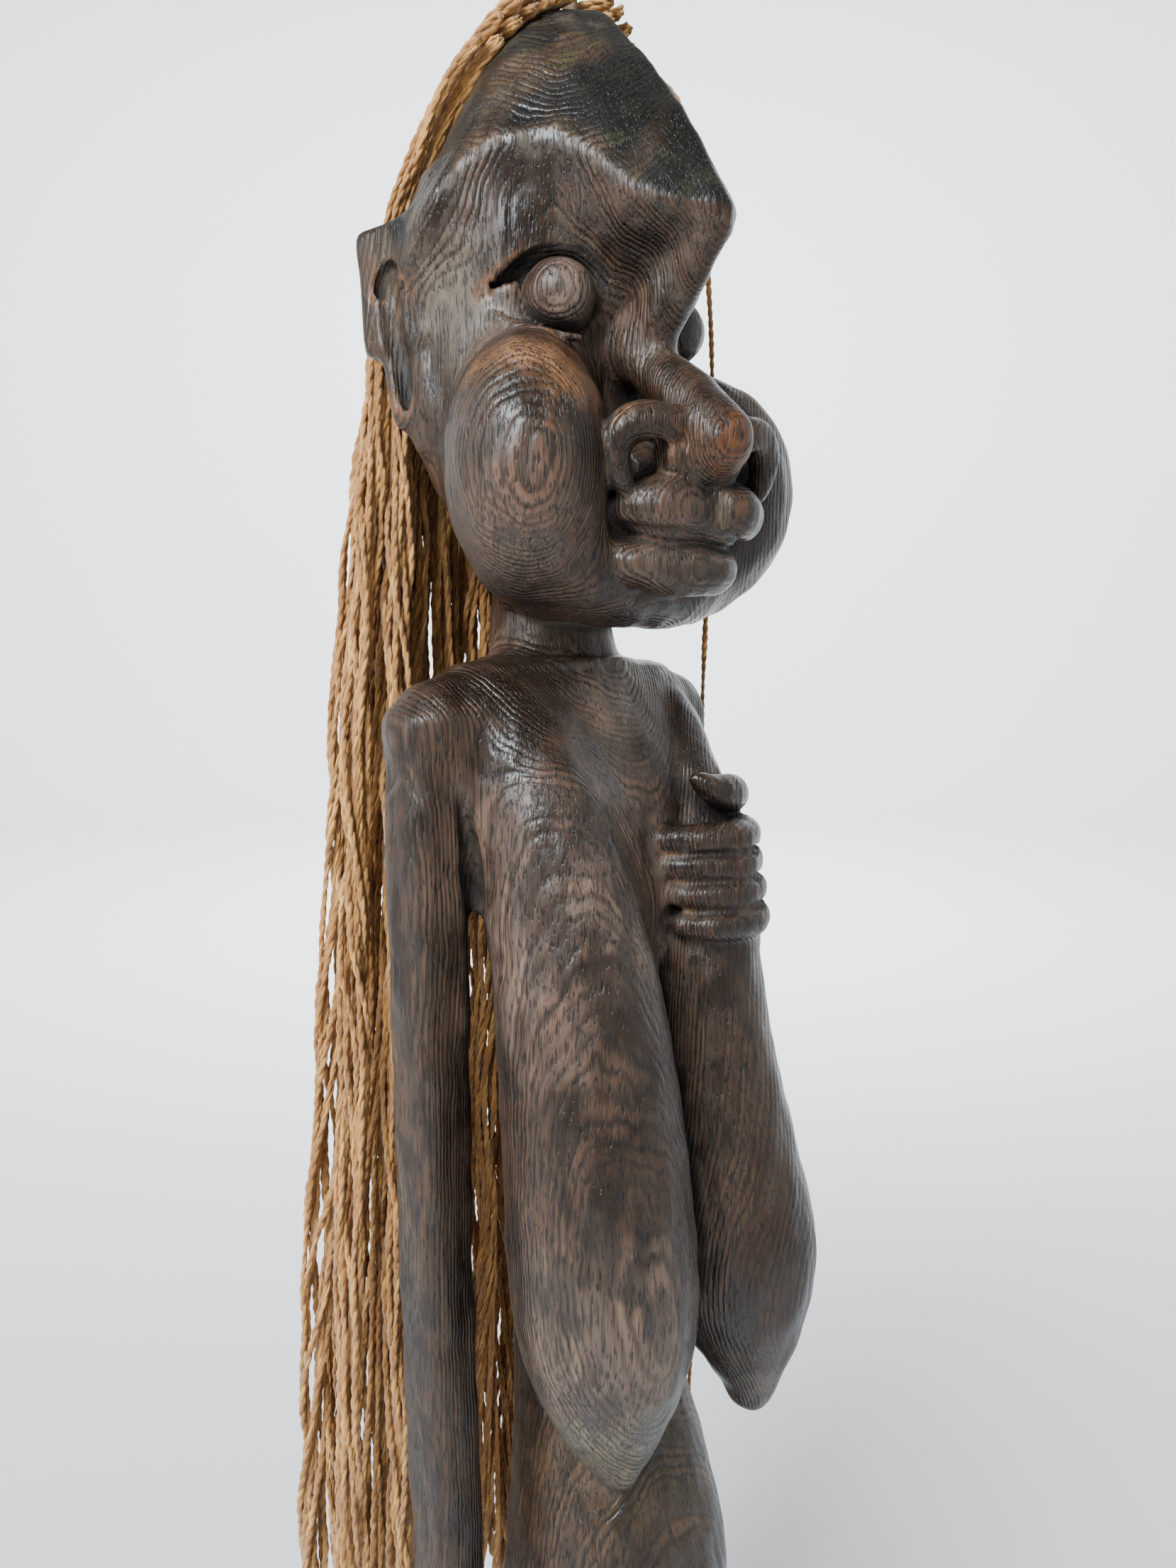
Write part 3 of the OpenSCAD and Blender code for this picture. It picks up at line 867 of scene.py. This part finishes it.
def paint(points, normal):
    """The colour of the wood at each point before grain, dust, rubbed edges and painted shade are laid on;
    some spots and the cap's rim carry painted light and shade.
    """
    tone = np.tile(BODY_TONE, (len(points), 1))
    shift = points + 5 * np.stack([ripple(points, 30, s) for s in (1, 2, 3)], 1)
    for centre, radius, colour in SPOTS:
        gap = np.linalg.norm((shift - centre) / radius, axis=1)
        share = (1 - ease(gap, 0.55, 1.15))[:, None]
        tone = tone + share * (np.array(colour) - tone)
    x, y, z = points.T
    angle = np.degrees(np.arctan2(np.abs(x), DOME_Y - y))
    rim = np.interp(angle, *np.array(RIM).T)
    cap = ease(z - rim, 0.5, 3.5) * ease(normal[:, 2], -0.15, 0.1) * ease(z, 903, 907)
    patch = ease(ripple(points * [1, 1, 0.6], 22, 5) + (-x - 20) / 40, 0.1, 1.2)[:, None]
    moss = ease(ripple(points, 16, 8), 0.25, 1.1)[:, None]
    charcoal = np.array([0.006, 0.0048, 0.0034]) + patch * np.array([0.028, 0.014, 0.006])
    charcoal = charcoal + moss * np.array([0.006, 0.008, 0.002])
    tone = tone + cap[:, None] * (charcoal - tone)
    # a paler orange band along the cap's arched rim where it catches the window light: partly painted
    # highlight, partly worn edge
    rim_highlight_and_wear = ease(z - rim, -1.5, 1) * (1 - ease(z - rim, 2.5, 6))
    rim_highlight_and_wear = rim_highlight_and_wear * ease(angle, 30, 44) * (1 - ease(angle, 78, 92))
    return tone + rim_highlight_and_wear[:, None] * 0.5 * (np.array([0.10, 0.052, 0.024]) - tone)


# The bore in the crown that the peg stands in.
PEG_Y, PEG_LOW, PEG_BORE_R = 12, 976, 3.15


def make_carving(material):
    """The whole log: shaped in clay, meshed, marked by tools, then coloured point by point."""
    steps = [np.arange(-4, 330, 2.5), np.arange(330, 740, 1.5), np.arange(740, 1005, 1.15)]
    clay = Clay(np.arange(-100, 100, 1.25), np.arange(-92, 96, 1.25), np.concatenate(steps))
    carve_base(clay)
    carve_body(clay)
    carve_head(clay)
    clay.cut(cone((0, PEG_Y, PEG_LOW), (0, PEG_Y, CROWN_Z + 10), PEG_BORE_R, PEG_BORE_R))
    points, quads = mesh_of(clay)
    slope = np.stack([sample(clay, points + e) - sample(clay, points - e) for e in 1.2 * np.eye(3)], 1)
    normal = slope / np.maximum(np.linalg.norm(slope, axis=1, keepdims=True), 1e-6)
    # how deep each point lies in a hollow and how sharp an edge it sits on; in the wood these lay dust,
    # painted shade and rubbed edges
    open_air = np.minimum(sample(clay, points + 3 * normal) / 3, sample(clay, points + 7 * normal) / 7)
    hollow = np.clip(1 - open_air, 0, 1)
    ridge = np.clip(1 + sample(clay, points - 3 * normal) / 3, 0, 1)
    # tool marks and grain
    worked = ease(points[:, 2], 3, 12)
    height = 0.3 * ripple(points, 17, 11) + 0.12 * ripple(points * [1, 1, 0.15], 6, 12, 30)
    out = points + normal * (worked * height)[:, None]
    piece = put("carved_wood_body", out, quads, material)
    for name, values in (("tone", paint(points, normal)), ("hollow_and_edge", np.stack([hollow, ridge, 0 * ridge], 1))):
        layer = piece.data.attributes.new(name, "FLOAT_COLOR", "POINT")
        layer.data.foreach_set("color", np.concatenate([values, np.ones((len(points), 1))], 1).ravel())
    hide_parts("carved_figure")


# ---------------------------------------------------------------- materials
class Nodes:
    """Short names for building one node material."""

    def __init__(self, name):
        self.material = bpy.data.materials.new(name)
        self.material.use_nodes = True
        self.tree = self.material.node_tree
        self.shader = self.tree.nodes["Principled BSDF"]

    def new(self, kind, **inputs):
        node = self.tree.nodes.new("ShaderNode" + kind)
        for key, value in inputs.items():
            self.feed(node, key, value)
        return node

    def feed(self, node, key, value):
        socket = node.inputs[int(key[1:]) if key[0] == "_" else key.replace("_", " ")]
        if isinstance(value, bpy.types.NodeSocket):
            self.tree.links.new(value, socket)
        else:
            socket.default_value = value

    def math(self, operation, a, b=0.0, clamp=False):
        node = self.new("Math", _0=a, _1=b)
        node.operation = operation
        node.use_clamp = clamp
        return node.outputs[0]

    def mix(self, amount, a, b, blend="MIX"):
        node = self.tree.nodes.new("ShaderNodeMix")
        node.data_type = "RGBA"
        node.blend_type = blend
        for at, value in ((0, amount), (6, a), (7, b)):
            if isinstance(value, bpy.types.NodeSocket):
                self.tree.links.new(value, node.inputs[at])
            else:
                node.inputs[at].default_value = value
        return node.outputs[2]

    def ramp(self, value, low, high, to_low=0.0, to_high=1.0):
        node = self.new("MapRange", Value=value)
        for key, number in (("From Min", low), ("From Max", high), ("To Min", to_low), ("To Max", to_high)):
            node.inputs[key].default_value = number
        node.interpolation_type = "SMOOTHSTEP"
        return node.outputs[0]

    def attribute(self, name):
        node = self.tree.nodes.new("ShaderNodeAttribute")
        node.attribute_name = name
        return node.outputs["Color"]

    def noise(self, vector, scale, detail=3.0, rough=0.5):
        node = self.new("TexNoise", Vector=vector, Scale=scale, Detail=detail, Roughness=rough)
        return node.outputs[0]

    def stretch(self, vector, scale):
        node = self.new("Mapping", Vector=vector)
        node.inputs["Scale"].default_value = scale
        return node.outputs[0]


def twine_material():
    """Loose jute: golden fibres that run round the ply, with darker fibres laid by noise that are partly
    their own colour and partly painted shade between strands.
    """
    m = Nodes("jute_twine")
    uv = m.tree.nodes.new("ShaderNodeUVMap")
    uv.uv_map = "twine"
    place = m.new("TexCoord").outputs["Object"]
    fibres = m.noise(m.stretch(uv.outputs[0], (3.0, 9.0, 1.0)), 1.6, 4.0, 0.65)
    streak = m.noise(m.stretch(uv.outputs[0], (0.55, 3.0, 1.0)), 1.0, 2.0, 0.5)
    patch = m.noise(m.stretch(place, (60, 60, 9)), 1.0, 2.0, 0.5)
    # dark is partly the fibres' own colour and partly painted shade for the gaps between strands
    dark, mid, pale = (0.075, 0.024, 0.004, 1), (0.34, 0.138, 0.022, 1), (0.64, 0.325, 0.070, 1)
    colour = m.mix(m.ramp(fibres, 0.34, 0.62), dark, mid)
    colour = m.mix(m.ramp(streak, 0.42, 0.72), colour, pale)
    colour = m.mix(m.ramp(patch, 0.35, 0.7, 0.0, 0.35), colour, mid)
    m.feed(m.shader, "Base Color", colour)
    m.shader.inputs["Roughness"].default_value = 0.72
    m.shader.inputs["Sheen Weight"].default_value = 0.25
    bump = m.new("Bump", Height=fibres, Strength=0.5, Distance=0.0006)
    m.feed(m.shader, "Normal", bump.outputs[0])
    return m.material


def growth_rings(m, place):
    """Distance from the log's heart, warped, as fine even ridges and as broad bands."""
    x, y, _ = (m.new("SeparateXYZ", Vector=place).outputs[k] for k in range(3))
    sway = m.noise(m.stretch(place, (11, 11, 4)), 1.0, 2.0, 0.5)
    lean = m.noise(m.stretch(place, (17, 13, 6)), 1.0, 1.0, 0.5)
    x = m.math("ADD", x, m.math("MULTIPLY", m.math("SUBTRACT", sway, 0.55), 0.03))
    y = m.math("ADD", y, m.math("MULTIPLY", m.math("SUBTRACT", lean, 1.35), 0.03))
    r = m.math("SQRT", m.math("ADD", m.math("MULTIPLY", x, x), m.math("MULTIPLY", y, y)))
    jitter = m.math("MULTIPLY", m.noise(m.stretch(place, (140, 140, 60)), 1.0, 2.0, 0.5), 0.55)
    phase = m.math("FRACT", m.math("ADD", m.math("MULTIPLY", r, 640.0), jitter))
    ridge = m.ramp(m.math("ABSOLUTE", m.math("SUBTRACT", m.math("MULTIPLY", phase, 2.0), 1.0)), 0.25, 0.95)
    bands = m.tree.nodes.new("ShaderNodeTexNoise")
    bands.noise_dimensions = "1D"
    for key, value in (("W", r), ("Scale", 210.0), ("Detail", 1.0), ("Roughness", 0.5)):
        m.feed(bands, key, value)
    return ridge, bands.outputs[0]


def wood_material():
    """Dark stained wood: rings, fibres and pores, dusty hollows with painted shade in the deepest, and
    rubbed edges.
    """
    m = Nodes("carved_wood")
    place = m.new("TexCoord").outputs["Object"]
    tone = m.attribute("tone")
    hollow, ridge, _ = (m.new("SeparateXYZ", Vector=m.attribute("hollow_and_edge")).outputs[k] for k in range(3))
    rings, bands = growth_rings(m, place)
    fibre = m.noise(m.stretch(place, (620, 620, 26)), 1.0, 3.0, 0.6)
    pores = m.noise(m.stretch(place, (1100, 1100, 150)), 1.0, 2.0, 0.5)
    patch = m.noise(m.stretch(place, (46, 46, 22)), 1.0, 5.0, 0.62)
    stain = m.noise(m.stretch(place, (22, 22, 12)), 1.0, 3.0, 0.6)
    dust_wear_and_shade_noise = m.noise(place, 110.0, 5.0, 0.65)
    speck = m.noise(place, 900.0, 2.0, 0.5)

    def shade(k):
        return m.mix(1.0, tone, (k, k * 0.95, k * 0.88, 1), "MULTIPLY")

    black = (0.003, 0.0022, 0.0017, 1)
    dusty = (0.072, 0.050, 0.032, 1)
    rubbed_wood = (0.125, 0.050, 0.016, 1)
    shown = m.ramp(bands, 0.32, 0.62, 0.25, 1.0)
    early_wood = m.mix(m.ramp(bands, 0.4, 0.62), tone, shade(1.6))
    late_wood = m.math("MULTIPLY", rings, m.math("MULTIPLY", shown, 0.85))
    colour = m.mix(late_wood, early_wood, shade(0.34))
    colour = m.mix(m.ramp(fibre, 0.34, 0.50, 0.5, 0.0), colour, black)
    colour = m.mix(m.ramp(fibre, 0.55, 0.72, 0.0, 0.4), colour, shade(2.3))
    colour = m.mix(m.ramp(patch, 0.42, 0.54, 0.78, 0.0), colour, shade(0.25))
    colour = m.mix(m.ramp(patch, 0.57, 0.72, 0.0, 0.6), colour, shade(2.1))
    colour = m.mix(m.ramp(stain, 0.58, 0.72, 0.0, 0.5), colour, dusty)
    colour = m.mix(m.ramp(pores, 0.36, 0.46, 0.75, 0.0), colour, black)
    rubbed = m.math("MULTIPLY", m.ramp(ridge, 0.2, 0.55), m.ramp(dust_wear_and_shade_noise, 0.40, 0.64))
    colour = m.mix(m.math("MULTIPLY", rubbed, 0.7), colour, rubbed_wood)
    dust = m.math("MULTIPLY", m.ramp(hollow, 0.12, 0.34), m.ramp(dust_wear_and_shade_noise, 0.46, 0.64))
    colour = m.mix(m.math("MULTIPLY", dust, 0.5), colour, dusty)
    # painted shade: near-black laid into the deepest hollows, broken up by noise
    painted_hollow_shade = m.math("MULTIPLY", m.ramp(hollow, 0.35, 0.8), m.ramp(dust_wear_and_shade_noise, 0.62, 0.36, 0.6, 1.0))
    colour = m.mix(m.math("MULTIPLY", painted_hollow_shade, 0.9), colour, black)
    colour = m.mix(m.ramp(speck, 0.74, 0.80, 0.0, 0.5), colour, (0.22, 0.18, 0.145, 1))
    m.feed(m.shader, "Base Color", colour)
    rough = m.ramp(patch, 0.35, 0.65, 0.28, 0.44)
    rough = m.math("ADD", rough, m.math("MULTIPLY", m.math("ADD", dust, painted_hollow_shade), 0.3), True)
    m.feed(m.shader, "Roughness", rough)
    m.shader.inputs["Specular IOR Level"].default_value = 0.34
    ridges = m.math("MULTIPLY", m.math("MULTIPLY", rings, shown), 0.34)
    height = m.math("SUBTRACT", m.math("MULTIPLY", fibre, 0.35), ridges)
    height = m.math("ADD", height, m.math("MULTIPLY", m.ramp(pores, 0.34, 0.48), 0.3))
    height = m.math("ADD", height, m.math("MULTIPLY", dust_wear_and_shade_noise, 0.3))
    bump = m.new("Bump", Height=height, Strength=0.8, Distance=0.0008)
    m.feed(m.shader, "Normal", bump.outputs[0])
    return m.material


def peg_material():
    """A plain cut dowel."""
    m = Nodes("peg_wood")
    place = m.new("TexCoord").outputs["Object"]
    fibre = m.noise(m.stretch(place, (900, 900, 60)), 1.0, 3.0, 0.6)
    colour = m.mix(m.ramp(fibre, 0.35, 0.65), (0.10, 0.06, 0.036, 1), (0.24, 0.155, 0.09, 1))
    m.feed(m.shader, "Base Color", colour)
    m.shader.inputs["Roughness"].default_value = 0.7
    bump = m.new("Bump", Height=fibre, Strength=0.5, Distance=0.0004)
    m.feed(m.shader, "Normal", bump.outputs[0])
    return m.material


def finish_peg(material):
    """The CAD's own peg, with its wood."""
    peg = bpy.data.objects["crown_peg"]
    for place in peg.material_slots:
        place.material = material


make_camera()
make_studio()
make_hair(twine_material())
make_carving(wood_material())
finish_peg(peg_material())
